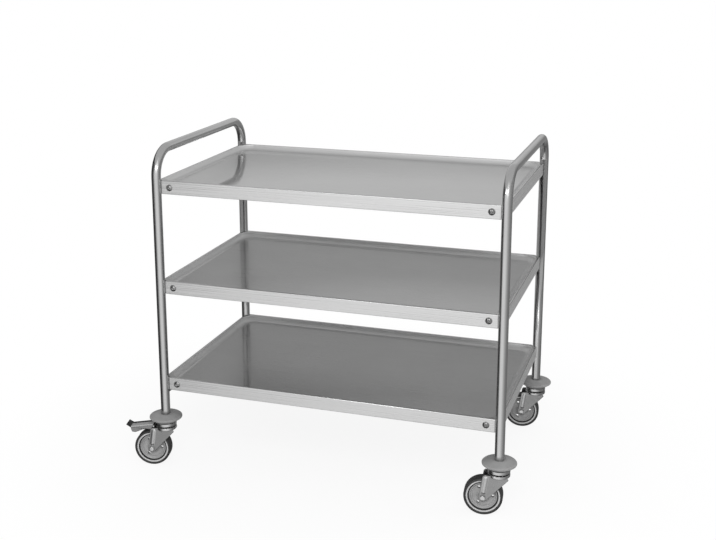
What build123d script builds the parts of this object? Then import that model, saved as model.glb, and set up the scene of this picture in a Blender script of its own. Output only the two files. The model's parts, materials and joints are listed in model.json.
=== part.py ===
from build123d import *
import os
from math import copysign, cos, radians, sin

# Three tier serving trolley, millimetres, floor at z 0, long side along X, front towards -Y

# Tube hoops, the post centres stand on the corners of this rectangle
POST_X = 930.0
POST_Y = 560.0
TUBE_R = 12.5
TUBE_WALL = 1.2
HANDLE_Z = 882.5
BEND_R = 70.0

# Trays, each one sheet with a sunk pan, a round crest and a skirt
CRESTS = {"bottom": 255.0, "middle": 530.0, "top": 805.0}
SHEET = 1.0
SKIRT_H = 36.0
CREST_W = 4.0
CREST_R = 2.9
RECESS = 14.0
COVE_R = 24.0
PAN_R = 45.0
NOTCH_R = 12.9
LIP_R = 4.0
FLANGE_W = 10.0
FLANGE_GAP = 66.0

# Shelf fixings, a flanged button head screw through the skirt into a welded tab at each post
SCREW_OFF = 37.0
SCREW_DROP = 18.0
SCREW_R = 4.0
SCREW_HOLE_R = 4.2
SCREW_LEN = 15.0
HEAD_R = 8.3
HEAD_H = 4.0
HEAD_TAPER = 40.0
WASHER_R = 8.9
WASHER_H = 1.0
SOCKET_R = 2.9
SOCKET_DEPTH = 2.6
NUT_R = 7.5
NUT_H = 6.5
TAB_T = 3.0
TAB_LEN = 54.0
TAB_TOP_DROP = 8.0
TAB_END_DROP = 30.0
TAB_FOOT_DROP = 35.0
LONG_TAB_DROP = 48.0
TAB_FOOT_LEN = 22.0
TAB_STEP = 4.0

# Casters, each swung to trail towards the left end, heights are above the floor
TURN = 7.0
FRONT_TURN = 12.0
TRAIL = 38.0
WHEEL_R = 50.0
RUN_FIT = 0.05
SLIP = 0.1

# Swivel head, from the crown cup of the fork up to the foot of the tube
CROWN_R = 28.5
CROWN_LOW = 106.0
CROWN_TOP = 114.0
CROWN_T = 3.0
CUP_WALL = 2.5
EDGE_CUT = 2.0
BALL_R = 2.5
BALL_PITCH_R = 19.0
BALL_COUNT = 14
PLATE_LOW = 117.5
PLATE_TOP = 126.5
STEM_R = 6.0
STEM_TOP = 166.0
RIVET_R = 11.0
RIVET_GAP = 0.3
COLLAR_R = 9.0
COLLAR_GAP = 0.3
TUBE_FOOT = 130.5
PLUG_H = 38.0

# Rubber bumper round the foot of the tube
BUMPER_R = 44.5
BUMPER_LOW_R = 31.0
BUMPER_FOOT_R = 25.0
BUMPER_FOOT_Z = 129.6
BUMPER_EDGE_LOW = 138.5
BUMPER_EDGE_TOP = 142.0
BUMPER_SHOULDER_R = 42.0
BUMPER_SHOULDER_Z = 144.2
BUMPER_TOP = 150.5
BUMPER_CROWN_R = 21.0
BUMPER_DISH_R = 17.0
BUMPER_DISH_Z = 149.0
BUMPER_ROUND = 1.8

# Fork legs and axle
LEG_IN = 17.8
LEG_T = 2.5
LEG_TOP = 111.5
LEG_TOP_FRONT = -18.0
LEG_TOP_BACK = 36.0
LEG_FRONT = (-26.0, 103.0)
LEG_BACK = (40.0, 107.5)
BOSS_R = 10.5
RIB_MIDDLE = (33.65, 84.25)
RIB_END = (36.3, 66.0)
RIB_W = 15.0
RIB_H = 2.0
RIB_TAPER = 40.0
SLEEVE_R = 6.0
AXLE_R = 4.0
BOLT_HEAD_H = 5.3
BOLT_SPARE = 1.5

# Wheel, radius first in each pair, then distance from its middle plane
HUB_R = 11.0
HUB_HALF = 17.3
HUB_FOOT = (12.5, 9.0)
WEB_INNER = (17.5, 5.0)
WEB_OUTER = (29.6, 4.4)
BEAD_INNER = (34.4, 8.8)
BEAD_OUTER = (35.8, 8.8)
GROOVE_INNER = (36.2, 4.5)
GROOVE_OUTER = (39.2, 4.5)
RIM_INNER = (39.6, 12.0)
RIM_OUTER = (43.4, 12.0)
SEAT_R = 44.2
SEAT_HALF = 11.2
TYRE_HALF = 15.0
TREAD_ROUND = 4.0
BEAD_ROUND = 1.5
HOLE_COUNT = 3
HOLE_R = 3.8
HOLE_PITCH_R = 24.0
HOLE_START = 58.0

# Brake pedal, a channel over the wheel on a pin across the fork legs
PIN_AT = (14.0, 100.0)
PIN_R = 3.0
PIN_HEAD_R = 4.5
PIN_HEAD_H = 1.5
EAR_R = 4.4
ARM_IN = 12.5
PEDAL_T = 2.5
PEDAL_TOP = 111.5
PEDAL_HEEL_TOP = 121.0
PEDAL_LOW = 104.6
EAR_ROOT = 1.0
PEDAL_START = 33.0
PEDAL_END = 98.0
TIP_RUN = 11.0
TIP_RISE = 7.0
FLANGE_BEND = (50.0, 62.0)
FLANGE_BEND_DROP = 1.6
FLANGE_FOOT = (84.0, 94.5)
FLANGE_END = (94.0, 95.5)
SHOE_FROM = 39.0
SHOE_TO = 51.0

SIDES = (-1, 1)
CORNERS = [(x * POST_X / 2, y * POST_Y / 2) for x in SIDES for y in SIDES]

os.makedirs("parts", exist_ok=True)


def save(block, name):
    block.part.label = name
    export_step(block.part, f"parts/{name}.step")


def build_hoop(name, x):
    # One bent tube, two posts and the handle between them
    end_view = Plane(origin=(x, 0, 0), x_dir=(0, 1, 0), z_dir=(1, 0, 0))
    half = POST_Y / 2
    with BuildPart() as hoop:
        with BuildLine(end_view) as path:
            FilletPolyline(
                (-half, TUBE_FOOT),
                (-half, HANDLE_Z),
                (half, HANDLE_Z),
                (half, TUBE_FOOT),
                radius=BEND_R,
            )
        with BuildSketch(Plane.XY.offset(TUBE_FOOT)):
            with Locations((x, -half)):
                Circle(TUBE_R)
                Circle(TUBE_R - TUBE_WALL, mode=Mode.SUBTRACT)
        sweep(path=path.line)
    save(hoop, name)


def tray_outline(inset):
    # Plan of the tray with a hollow corner round each post
    Rectangle(POST_X - 2 * inset, POST_Y - 2 * inset)
    with Locations(*CORNERS):
        Circle(NOTCH_R + inset, mode=Mode.SUBTRACT)
    fillet(vertices(), LIP_R - inset)


def pan_outline(grow):
    # Plan of the sunk pan at the crest
    length = POST_X - 2 * CREST_W + 2 * grow
    width = POST_Y - 2 * CREST_W + 2 * grow
    RectangleRounded(length, width, PAN_R + grow)


def build_tray(name, crest):
    base = Plane.XY.offset(crest - SKIRT_H)
    # Room above the pan floor
    with BuildPart() as recess:
        with BuildSketch(Plane.XY.offset(crest - RECESS)):
            pan_outline(0)
        extrude(amount=2 * RECESS)
        fillet(recess.faces().sort_by(Axis.Z)[0].edges(), COVE_R)
    # The same room grown by the sheet
    with BuildPart() as dish:
        with BuildSketch(Plane.XY.offset(crest - RECESS - SHEET)):
            pan_outline(SHEET)
        extrude(amount=2 * RECESS)
        fillet(dish.faces().sort_by(Axis.Z)[0].edges(), COVE_R + SHEET)
    # Space under the sheet, inside the skirt
    with BuildPart() as hollow:
        with BuildSketch(base):
            tray_outline(SHEET)
        extrude(amount=SKIRT_H - SHEET)
        add(dish.part, mode=Mode.SUBTRACT)
        fillet(hollow.faces().sort_by(Axis.Z)[-1].edges(), CREST_R - SHEET)
    with BuildPart() as tray:
        with BuildSketch(base):
            tray_outline(0)
        extrude(amount=SKIRT_H)
        add(recess.part, mode=Mode.SUBTRACT)
        fillet(tray.faces().sort_by(Axis.Z)[-1].edges(), CREST_R)
        add(hollow.part, mode=Mode.SUBTRACT)
        # Folded bottom flange, cut short of the corners
        flange_x = POST_X / 2 - SHEET - FLANGE_W / 2
        flange_y = POST_Y / 2 - SHEET - FLANGE_W / 2
        with BuildSketch(base):
            with Locations((0, -flange_y), (0, flange_y)):
                Rectangle(POST_X - 2 * FLANGE_GAP, FLANGE_W)
            with Locations((-flange_x, 0), (flange_x, 0)):
                Rectangle(FLANGE_W, POST_Y - 2 * FLANGE_GAP)
        extrude(amount=SHEET)
        # Slots that let the welded tabs through the corner walls
        slot_y = SHEET + SLIP + TAB_T / 2
        slots = [(x - copysign(NOTCH_R, x), y - copysign(slot_y, y)) for x, y in CORNERS]
        with BuildSketch(base):
            with Locations(*slots):
                Rectangle(NOTCH_R, TAB_T + 2 * SLIP)
        extrude(amount=SKIRT_H - TAB_TOP_DROP + SLIP, mode=Mode.SUBTRACT)
        # Screw holes through the long skirts
        hole_x = POST_X / 2 - SCREW_OFF
        with BuildSketch(Plane.XZ.offset(-POST_Y)):
            with Locations((-hole_x, crest - SCREW_DROP), (hole_x, crest - SCREW_DROP)):
                Circle(SCREW_HOLE_R)
        extrude(amount=2 * POST_Y, mode=Mode.SUBTRACT)
    save(tray, name)


def build_tabs(name, x):
    # Plates welded to the posts of one hoop, behind the long skirts
    inward = (-copysign(1, x), 0, 0)
    with BuildPart() as tabs:
        for level, crest in CRESTS.items():
            # The lowest tabs at the left end reach out below their skirt
            foot_drop = LONG_TAB_DROP if level == "bottom" and x < 0 else TAB_FOOT_DROP
            for out in SIDES:
                skirt = (x, out * (POST_Y / 2 - SHEET), crest)
                face = Plane(origin=skirt, x_dir=inward, z_dir=(0, -out, 0))
                down = -face.y_dir.Z
                with BuildSketch(face):
                    with BuildLine():
                        Polyline(
                            (TUBE_R / 2, down * TAB_TOP_DROP),
                            (TAB_LEN, down * TAB_TOP_DROP),
                            (TAB_LEN, down * TAB_END_DROP),
                            (TAB_FOOT_LEN, down * (TAB_END_DROP + TAB_STEP)),
                            (TUBE_R / 2, down * foot_drop),
                            close=True,
                        )
                    make_face()
                    with Locations((SCREW_OFF, down * SCREW_DROP)):
                        Circle(SCREW_HOLE_R, mode=Mode.SUBTRACT)
                extrude(amount=TAB_T)
        with BuildSketch(Plane.XY):
            with Locations((x, -POST_Y / 2), (x, POST_Y / 2)):
                Circle(TUBE_R)
        extrude(amount=HANDLE_Z, mode=Mode.SUBTRACT)
    save(tabs, name)


def fixing_planes(outward):
    # Planes that face out of the long skirts at every screw, moved out by a distance
    planes = []
    for crest in CRESTS.values():
        for x, y in CORNERS:
            out = copysign(1, y)
            spot = (x - copysign(SCREW_OFF, x), y + out * outward, crest - SCREW_DROP)
            planes.append(Plane(origin=spot, x_dir=(1, 0, 0), z_dir=(0, out, 0)))
    return planes


def build_screws(name):
    with BuildPart() as screws:
        with BuildSketch(*fixing_planes(0)):
            Circle(WASHER_R)
        extrude(amount=WASHER_H)
        with BuildSketch(*fixing_planes(WASHER_H)):
            Circle(HEAD_R)
        extrude(amount=HEAD_H, taper=HEAD_TAPER)
        with BuildSketch(*fixing_planes(0)):
            Circle(SCREW_R)
        extrude(amount=-SCREW_LEN)
        with BuildSketch(*fixing_planes(WASHER_H + HEAD_H)):
            RegularPolygon(SOCKET_R, 6)
        extrude(amount=-SOCKET_DEPTH, mode=Mode.SUBTRACT)
    save(screws, name)


def build_nuts(name):
    with BuildPart() as nuts:
        with BuildSketch(*fixing_planes(-SHEET - TAB_T)):
            RegularPolygon(NUT_R, 6)
            Circle(SCREW_R + RUN_FIT, mode=Mode.SUBTRACT)
        extrude(amount=-NUT_H)
    save(nuts, name)


class Caster:
    # Where one caster stands: its axes, and the planes that its pieces are drawn on
    def __init__(self, name, x, y, turn, braked):
        self.name = name
        self.spot = (x, y)
        self.braked = braked
        trail = Vector(-cos(radians(turn)), -sin(radians(turn)), 0)
        axle = trail.cross(Vector(0, 0, 1))
        hub = Vector(x, y, WHEEL_R) + trail * TRAIL
        self.post_axis = Axis((x, y, 0), (0, 0, 1))
        self.hub_axis = Axis(hub, axle)
        # Radius along x and height along y
        self.post_section = Plane(origin=(x, y, 0), x_dir=trail, z_dir=axle)
        # Radius along x and the axle along y
        self.hub_section = Plane(origin=hub, x_dir=trail, z_dir=trail.cross(axle))
        # The wheel seen along its axle
        self.wheel_face = Plane(origin=hub, x_dir=trail, z_dir=axle)


def build_bumper(caster):
    with BuildPart() as bumper:
        with BuildSketch(caster.post_section):
            Polygon(
                (COLLAR_R + COLLAR_GAP, PLATE_TOP),
                (BUMPER_FOOT_R, PLATE_TOP),
                (BUMPER_FOOT_R, BUMPER_FOOT_Z),
                (BUMPER_LOW_R, BUMPER_FOOT_Z),
                (BUMPER_R, BUMPER_EDGE_LOW),
                (BUMPER_R, BUMPER_EDGE_TOP),
                (BUMPER_SHOULDER_R, BUMPER_SHOULDER_Z),
                (BUMPER_CROWN_R, BUMPER_TOP),
                (BUMPER_DISH_R, BUMPER_TOP),
                (TUBE_R + SLIP, BUMPER_DISH_Z),
                (TUBE_R + SLIP, TUBE_FOOT),
                (COLLAR_R + COLLAR_GAP, TUBE_FOOT),
                align=None,
            )
        revolve(axis=caster.post_axis)
        rings = bumper.edges().filter_by(GeomType.CIRCLE)
        fillet(rings.filter_by(lambda ring: ring.radius > BUMPER_LOW_R), BUMPER_ROUND)
    save(bumper, f"{caster.name}_bumper")


def build_tube_plug(caster):
    with BuildPart() as plug:
        with BuildSketch(Plane.XY.offset(TUBE_FOOT)):
            with Locations(caster.spot):
                Circle(TUBE_R - TUBE_WALL - SLIP)
                Circle(STEM_R + SLIP, mode=Mode.SUBTRACT)
        extrude(amount=PLUG_H)
    save(plug, f"{caster.name}_tube_plug")


def build_stem(caster):
    # Riveted below the crown, with a collar on the top plate
    rivet_top = CROWN_TOP - CROWN_T - RIVET_GAP
    with BuildPart() as stem:
        with BuildSketch(caster.post_section):
            Polygon(
                (0, CROWN_LOW),
                (RIVET_R - EDGE_CUT, CROWN_LOW),
                (RIVET_R, CROWN_LOW + EDGE_CUT),
                (RIVET_R, rivet_top),
                (STEM_R, rivet_top),
                (STEM_R, PLATE_TOP),
                (COLLAR_R, PLATE_TOP),
                (COLLAR_R, TUBE_FOOT - SLIP),
                (STEM_R, TUBE_FOOT - SLIP),
                (STEM_R, STEM_TOP - EDGE_CUT),
                (STEM_R - EDGE_CUT, STEM_TOP),
                (0, STEM_TOP),
                align=None,
            )
        revolve(axis=caster.post_axis)
    save(stem, f"{caster.name}_stem")


def build_top_plate(caster):
    race = CROWN_TOP + 2 * BALL_R + RUN_FIT
    with BuildPart() as plate:
        with BuildSketch(caster.post_section):
            Polygon(
                (STEM_R + SLIP, PLATE_TOP),
                (CROWN_R - EDGE_CUT, PLATE_TOP),
                (CROWN_R, PLATE_TOP - EDGE_CUT),
                (CROWN_R, PLATE_LOW),
                (CROWN_R - CUP_WALL, PLATE_LOW),
                (CROWN_R - CUP_WALL, race),
                (STEM_R + SLIP, race),
                align=None,
            )
        revolve(axis=caster.post_axis)
    save(plate, f"{caster.name}_top_plate")


def build_swivel_balls(caster):
    with BuildPart() as balls:
        with Locations((*caster.spot, CROWN_TOP + BALL_R)):
            with PolarLocations(BALL_PITCH_R, BALL_COUNT):
                Sphere(BALL_R)
    save(balls, f"{caster.name}_swivel_balls")


def build_fork(caster):
    side = caster.post_section
    with BuildPart() as fork:
        # Pressed crown cup
        with BuildSketch(side):
            Polygon(
                (STEM_R + RUN_FIT, CROWN_TOP),
                (CROWN_R - EDGE_CUT, CROWN_TOP),
                (CROWN_R, CROWN_TOP - EDGE_CUT),
                (CROWN_R, CROWN_LOW),
                (CROWN_R - CUP_WALL, CROWN_LOW),
                (CROWN_R - CUP_WALL, CROWN_TOP - CROWN_T),
                (STEM_R + RUN_FIT, CROWN_TOP - CROWN_T),
                align=None,
            )
        revolve(axis=caster.post_axis)
        # Two legs that lean back to the axle
        with BuildSketch(side.offset(LEG_IN), side.offset(-LEG_IN - LEG_T)):
            with BuildLine() as leg:
                Polyline(
                    LEG_FRONT,
                    (LEG_TOP_FRONT, LEG_TOP),
                    (LEG_TOP_BACK, LEG_TOP),
                    LEG_BACK,
                )
                CenterArc((TRAIL, WHEEL_R), BOSS_R, 0, 360)
            make_hull(leg.edges())
            with Locations((TRAIL, WHEEL_R)):
                Circle(AXLE_R + SLIP, mode=Mode.SUBTRACT)
            if caster.braked:
                with Locations(PIN_AT):
                    Circle(PIN_R + SLIP, mode=Mode.SUBTRACT)
        extrude(amount=LEG_T)
        # Pressed rib down the outside of each leg
        for out in SIDES:
            with BuildSketch(side.offset(out * (LEG_IN + LEG_T))):
                SlotCenterPoint(RIB_MIDDLE, RIB_END, RIB_W)
            extrude(amount=out * RIB_H, taper=RIB_TAPER)
    save(fork, f"{caster.name}_fork")


def build_axle(caster):
    face = caster.wheel_face
    # Tube clamped between the legs, the wheel turns on it
    with BuildPart() as sleeve:
        with BuildSketch(face):
            Circle(SLEEVE_R)
            Circle(AXLE_R + SLIP, mode=Mode.SUBTRACT)
        extrude(amount=LEG_IN, both=True)
    save(sleeve, f"{caster.name}_axle_sleeve")
    # Bolt with its head to the front and a nut behind
    outside = LEG_IN + LEG_T
    with BuildPart() as bolt:
        with BuildSketch(face.offset(-outside)):
            Circle(AXLE_R)
        extrude(amount=2 * outside + NUT_H + BOLT_SPARE)
        with BuildSketch(face.offset(-outside)):
            RegularPolygon(NUT_R, 6)
        extrude(amount=-BOLT_HEAD_H)
        with BuildSketch(face.offset(outside)):
            RegularPolygon(NUT_R, 6)
            Circle(AXLE_R + RUN_FIT, mode=Mode.SUBTRACT)
        extrude(amount=NUT_H)
    save(bolt, f"{caster.name}_axle_bolt")


def build_wheel(caster):
    half = [
        (SLEEVE_R + RUN_FIT, HUB_HALF),
        (HUB_R, HUB_HALF),
        HUB_FOOT,
        WEB_INNER,
        WEB_OUTER,
        BEAD_INNER,
        BEAD_OUTER,
        GROOVE_INNER,
        GROOVE_OUTER,
        RIM_INNER,
        RIM_OUTER,
        (SEAT_R, SEAT_HALF),
    ]
    with BuildPart() as rim:
        with BuildSketch(caster.hub_section):
            mirrored = [(radius, -away) for radius, away in reversed(half)]
            Polygon(*half, *mirrored, align=None)
        revolve(axis=caster.hub_axis)
        # Round openings through the sunk web of the disc
        with BuildSketch(caster.wheel_face):
            with PolarLocations(HOLE_PITCH_R, HOLE_COUNT, start_angle=HOLE_START):
                Circle(HOLE_R)
        extrude(amount=HUB_HALF, both=True, mode=Mode.SUBTRACT)
    save(rim, f"{caster.name}_wheel_rim")

    with BuildPart() as tyre:
        with BuildSketch(caster.hub_section):
            with Locations(((SEAT_R + WHEEL_R) / 2, 0)):
                Rectangle(WHEEL_R - SEAT_R, 2 * TYRE_HALF)
        revolve(axis=caster.hub_axis)
        rings = tyre.edges().filter_by(GeomType.CIRCLE).group_by(lambda ring: ring.radius)
        fillet(rings[-1], TREAD_ROUND)
        rings = tyre.edges().filter_by(GeomType.CIRCLE)
        fillet(rings.filter_by(lambda ring: abs(ring.radius - SEAT_R) < SLIP), BEAD_ROUND)
    save(tyre, f"{caster.name}_tyre")


def build_brake(caster):
    side = caster.post_section
    under = PEDAL_TOP - PEDAL_T
    heel_under = PEDAL_HEEL_TOP - PEDAL_T
    with BuildPart() as pedal:
        # Tread plate that slopes down to its upturned end
        with BuildSketch(side):
            with BuildLine():
                Polyline(
                    (PEDAL_START, heel_under),
                    (PEDAL_END, under),
                    (PEDAL_END + TIP_RUN, under + TIP_RISE),
                    (PEDAL_END + TIP_RUN - PEDAL_T / 2, PEDAL_TOP + TIP_RISE),
                    (PEDAL_END - PEDAL_T / 2, PEDAL_TOP),
                    (PEDAL_START, PEDAL_HEEL_TOP),
                    close=True,
                )
            make_face()
        extrude(amount=ARM_IN + PEDAL_T, both=True)
        # Side flanges that reach in to the pin
        with BuildSketch(side.offset(ARM_IN), side.offset(-ARM_IN - PEDAL_T)):
            with BuildLine() as ear:
                CenterArc(PIN_AT, EAR_R, 0, 360)
                Line((PEDAL_START, PEDAL_LOW), (PEDAL_START, PEDAL_LOW + EAR_ROOT))
            make_hull(ear.edges())
            with BuildLine():
                Polyline(
                    (PEDAL_START - PEDAL_T, PEDAL_LOW),
                    (FLANGE_BEND[0], PEDAL_LOW),
                    (FLANGE_BEND[1], PEDAL_LOW - FLANGE_BEND_DROP),
                    FLANGE_FOOT,
                    FLANGE_END,
                    (PEDAL_END, under),
                    (PEDAL_START, heel_under),
                    close=True,
                )
            make_face()
            with Locations(PIN_AT):
                Circle(PIN_R + RUN_FIT, mode=Mode.SUBTRACT)
        extrude(amount=PEDAL_T)
        # Shoe that comes down on the tread of the wheel
        shoe_top = heel_under + (under - heel_under) * (SHOE_FROM - PEDAL_START) / (PEDAL_END - PEDAL_START)
        with BuildSketch(side):
            with Locations(((SHOE_FROM + SHOE_TO) / 2, (PEDAL_LOW + shoe_top) / 2)):
                Rectangle(SHOE_TO - SHOE_FROM, shoe_top - PEDAL_LOW)
        extrude(amount=ARM_IN, both=True)
    save(pedal, f"{caster.name}_brake_pedal")

    # Pin with a formed head outside each leg
    outside = LEG_IN + LEG_T
    with BuildPart() as pin:
        with BuildSketch(side):
            with Locations(PIN_AT):
                Circle(PIN_R)
        extrude(amount=outside, both=True)
        for out in SIDES:
            with BuildSketch(side.offset(out * outside)):
                with Locations(PIN_AT):
                    Circle(PIN_HEAD_R)
            extrude(amount=out * PIN_HEAD_H)
    save(pin, f"{caster.name}_brake_pin")


def build_caster(caster):
    build_bumper(caster)
    build_tube_plug(caster)
    build_stem(caster)
    build_top_plate(caster)
    build_swivel_balls(caster)
    build_fork(caster)
    build_axle(caster)
    build_wheel(caster)
    if caster.braked:
        build_brake(caster)


build_hoop("left_hoop", -POST_X / 2)
build_hoop("right_hoop", POST_X / 2)
for level, height in CRESTS.items():
    build_tray(f"{level}_tray", height)
build_tabs("left_tabs", -POST_X / 2)
build_tabs("right_tabs", POST_X / 2)
build_screws("shelf_screws")
build_nuts("shelf_nuts")

# The casters of the left end have brakes
build_caster(Caster("left_front", -POST_X / 2, -POST_Y / 2, FRONT_TURN, True))
build_caster(Caster("left_rear", -POST_X / 2, POST_Y / 2, TURN, True))
build_caster(Caster("right_front", POST_X / 2, -POST_Y / 2, TURN, False))
build_caster(Caster("right_rear", POST_X / 2, POST_Y / 2, TURN, False))
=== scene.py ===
import json
from math import atan2, hypot, pi, radians, sqrt, tau

import bpy
import numpy as np
from bpy.props import FloatProperty, FloatVectorProperty, IntProperty, PointerProperty
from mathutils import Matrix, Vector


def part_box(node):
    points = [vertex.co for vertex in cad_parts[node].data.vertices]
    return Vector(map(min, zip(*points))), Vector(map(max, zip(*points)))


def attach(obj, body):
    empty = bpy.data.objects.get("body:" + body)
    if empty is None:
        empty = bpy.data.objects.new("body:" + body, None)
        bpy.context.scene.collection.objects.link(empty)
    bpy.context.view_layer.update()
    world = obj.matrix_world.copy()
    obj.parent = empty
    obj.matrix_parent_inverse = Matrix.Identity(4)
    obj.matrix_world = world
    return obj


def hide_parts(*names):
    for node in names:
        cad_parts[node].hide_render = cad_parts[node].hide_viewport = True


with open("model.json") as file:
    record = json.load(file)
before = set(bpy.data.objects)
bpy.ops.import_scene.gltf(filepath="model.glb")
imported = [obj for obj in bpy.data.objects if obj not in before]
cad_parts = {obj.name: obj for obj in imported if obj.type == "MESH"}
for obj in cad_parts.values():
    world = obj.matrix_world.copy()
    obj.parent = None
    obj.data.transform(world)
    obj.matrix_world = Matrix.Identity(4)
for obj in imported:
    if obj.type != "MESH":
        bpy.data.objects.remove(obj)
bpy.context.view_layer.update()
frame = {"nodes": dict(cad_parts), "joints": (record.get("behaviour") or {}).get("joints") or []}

bl_info = {
    "name": "Serving trolley looks",
    "version": (1, 0, 0),
    "blender": (4, 5, 0),
    "location": "View3D > Sidebar > Trolley",
    "description": "Builds the visible surfaces of a serving trolley around its packed model",
    "category": "Object",
}

MM = 0.001
UP = np.array((0.0, 0.0, 1.0))
# Distance of the rows that keep a run flat beside a rounding, in millimetres
SUPPORT = 0.12
CORNERS = ("left_front", "left_rear", "right_front", "right_rear")
BRAKED = ("left_front", "left_rear")
LEVELS = ("top", "middle", "bottom")
SIDES = (-1, 1)
JOINTS = {joint["name"]: joint for joint in frame["joints"]}

# Outlines in millimetres: two places and the rounding of each corner

# Distance from the post's axis and height above the floor
BUMPER_LINE = (
    (9.3, 126.5, 0.2), (25, 126.5, 0.3), (25, 129.6, 0.5), (31, 129.6, 1), (44.5, 138.4, 1.8),
    (44.5, 142, 1.8), (42, 144.3, 2.2), (21, 150.5, 4), (17, 150.5, 1.5), (13.4, 149, 0.8),
    (12.6, 149, 0.2), (12.6, 130.5, 0.2), (9.3, 130.5, 0.2),
)
PLATE_LINE = (
    (6.1, 126.5, 0.3), (28.5, 126.5, 2), (28.5, 117.5, 1.5), (25, 117.5, 0.4), (25, 119.05, 0.3),
    (6.1, 119.05, 0.3),
)
CUP_LINE = (
    (6.05, 114, 0.3), (28.5, 114, 1.8), (28.5, 106, 1.8), (26, 106, 0.6), (26, 110.4, 0.6),
    (6.05, 110.4, 0.3),
)
# Distance behind the post's axis and height above the floor
LEG_LINE = (
    (-26, 103, 3), (-18, 111.4, 3), (36, 111.4, 2.5), (40, 107.5, 3), (50.1, 39.5, 10.2),
    (33.6, 39.5, 10.2),
)
RIB_LINE = ((31, 102.5), (36.3, 66))
PEDAL_LINE = (
    (33, 118.5, 0.4), (98, 109, 5.5), (109, 116, 0.9), (107.7, 118.5, 0.9), (96.75, 111.5, 3),
    (33, 121, 0.4),
)
FLANGE_LINE = (
    (14, 95.7, 0), (31, 105.1, 6), (50, 105.2, 10), (62, 103.6, 10), (84, 94.5, 7), (94, 95.5, 4),
    (97.8, 109.2, 0.5), (33.2, 118.7, 0.8), (33.2, 105.5, 1.5), (13.5, 104.3, 0),
)
# The pad is a strip of painted shade along the pedal's top
PAD_LINE = ((35, 120.5, 0.3), (96, 111.4, 0.3), (96, 112.1, 0.3), (35, 121.2, 0.3))
TIP_LINE = (
    (96.4, 108.8, 0.3), (98.3, 108.6, 4), (109.5, 115.8, 1), (107.9, 119, 1), (96.4, 111.9, 0.3),
)
SHOE_LINE = ((39, 105.3, 0.8), (51, 105.3, 0.8), (51, 116.6, 0.8), (39, 117.6, 0.8))
# Distance from the axle and from the wheel's middle plane
HUB_LINE = ((17.5, 5, 1.5), (12.7, 8.8, 1.5), (11, 17.3, 0.8), (6.05, 17.3, 0.4), (6.05, 0, 0))
RIM_LINE = (
    (29.8, 4.4, 2.5), (34.2, 8.8, 0.8), (35.8, 8.8, 0.4), (36.2, 4.5, 0.3), (39.2, 4.5, 0.3),
    (39.6, 12, 0.6), (43.4, 12, 0.5), (44.2, 11.2, 0.3), (44.2, 0, 0),
)
# Distance from the bolt's axis, place along it, and a one for the rows that follow a hexagon
BOLT_ROWS = (
    (0.6, -5.3, 0), (5.4, -5.3, 0), (6.2, -5, 0), (6.5, -4.4, 1), (6.5, -0.2, 1), (6.3, 0, 1),
    (4, 0, 0), (4, 20, 0), (0.6, 20, 0),
)
NUT_ROWS = (
    (0.6, 8, 0), (3.4, 8, 0), (4, 7.4, 0), (4, 6.5, 0), (5.6, 6.5, 0), (6.3, 6.3, 0),
    (6.5, 5.8, 1), (6.5, 0.2, 1), (6.3, 0, 1), (4, 0, 0), (4, -20.6, 0), (0.6, -20.6, 0),
)
# Metals: coordinates, streaks per metre, roughness spread, bump in millimetres, colour spread, streaked
METALS = {
    "polished_tube": ("UV", (900, 12, 1), 0.25, 0.0006, 0.04, False),
    "smooth_pan": ("UV", (3, 700, 1), 0.12, 0, 0.04, False),
    # The crest and skirt finishes carry lighter greys of the pan's steel, as painted light
    "bright_crest": ("UV", (3, 700, 1), 0.12, 0, 0.04, False),
    "brushed_skirt": ("UV", (3, 700, 1), 0.4, 0.001, 0.07, True),
    "fixing_steel": ("Object", (400, 400, 400), 0.3, 0, 0.04, False),
    "dull_tab": ("Object", (300, 300, 300), 0.3, 0, 0.04, False),
    "bright_head": ("Object", (90, 90, 400), 0.3, 0, 0.04, False),
    "zinc_plate": ("Object", (120, 120, 120), 0.2, 0, 0.1, False),
    "pressed_rib": ("Object", (120, 120, 120), 0.2, 0, 0.04, False),
    "tread_zinc": ("Object", (120, 120, 120), 0.2, 0, 0.1, False),
}
# Part of the noise's range that is used
NOISE_SPAN = (0.3, 0.7)
# Clouds per metre in the colour of metals, and the detail of their noise
METAL_CLOUD = (6, 6, 6)
METAL_DETAIL = 3.0
# Rubber and plastics: roughness, grains per metre, bump in millimetres, colour spread
POLYMERS = {
    "bumper_rubber": (0.62, 900, 0.03, 0.08),
    "tube_plug": (0.5, 500, 0.02, 0.08),
    "wheel_plastic": (0.25, 300, 0.01, 0.12),
    "wheel_rim_ring": (0.35, 300, 0.01, 0.05),
    "wheel_groove": (0.5, 300, 0.01, 0.08),
    "tyre_rubber": (0.5, 700, 0.03, 0.2),
    "pedal_tread": (0.45, 400, 0.05, 0.2),
}
# Clouds per metre in the colour of rubber and plastics, detail of their noise, roughness spread and gloss
POLYMER_CLOUD = (40, 40, 40)
POLYMER_DETAIL = 4.0
POLYMER_SPREAD = 0.15
POLYMER_SPECULAR = 0.4
# Angle from the +X side in degrees, and the grey of the studio card there
FRONT_CARDS = (
    (-180, 0.05), (-142, 0.05), (-130, 0.3), (-116, 0.85), (-100, 1.0), (-66, 1.0), (-36, 0.55), (-8, 0.26),
    (25, 0.28),
)
BACK_CARDS = ((25, 0.27), (48, 0.42), (76, 0.68), (95, 0.7), (130, 0.7), (150, 0.36), (180, 0.05))
# Heights between which a card's grey falls to its foot's, in metres
CARD_FALL = (1.04, 1.17)
# Straight pieces round the edge of a card and of a lamp's face
CARD_STEPS = 48
LAMP_STEPS = 32
# Middles of the two lamps that show in the bright pieces, in metres
LAMP_FACES = ((0.66, -1.41, 1.44), (-0.265, -1.29, 1.34))
# Place and size of each soft lamp, in metres
SOFT_LAMPS = {
    "key": ((1.0, -2.9, 2.5), (2.0, 1.6)),
    "fill": ((-1.6, -2.2, 0.6), (1.4, 1.0)),
    "side": ((2.6, 0.3, 1.2), (1.4, 1.4)),
}
LAMP_AIM = (0.0, 0.0, 0.4)
WHITE = (1, 1, 1, 1)
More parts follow.
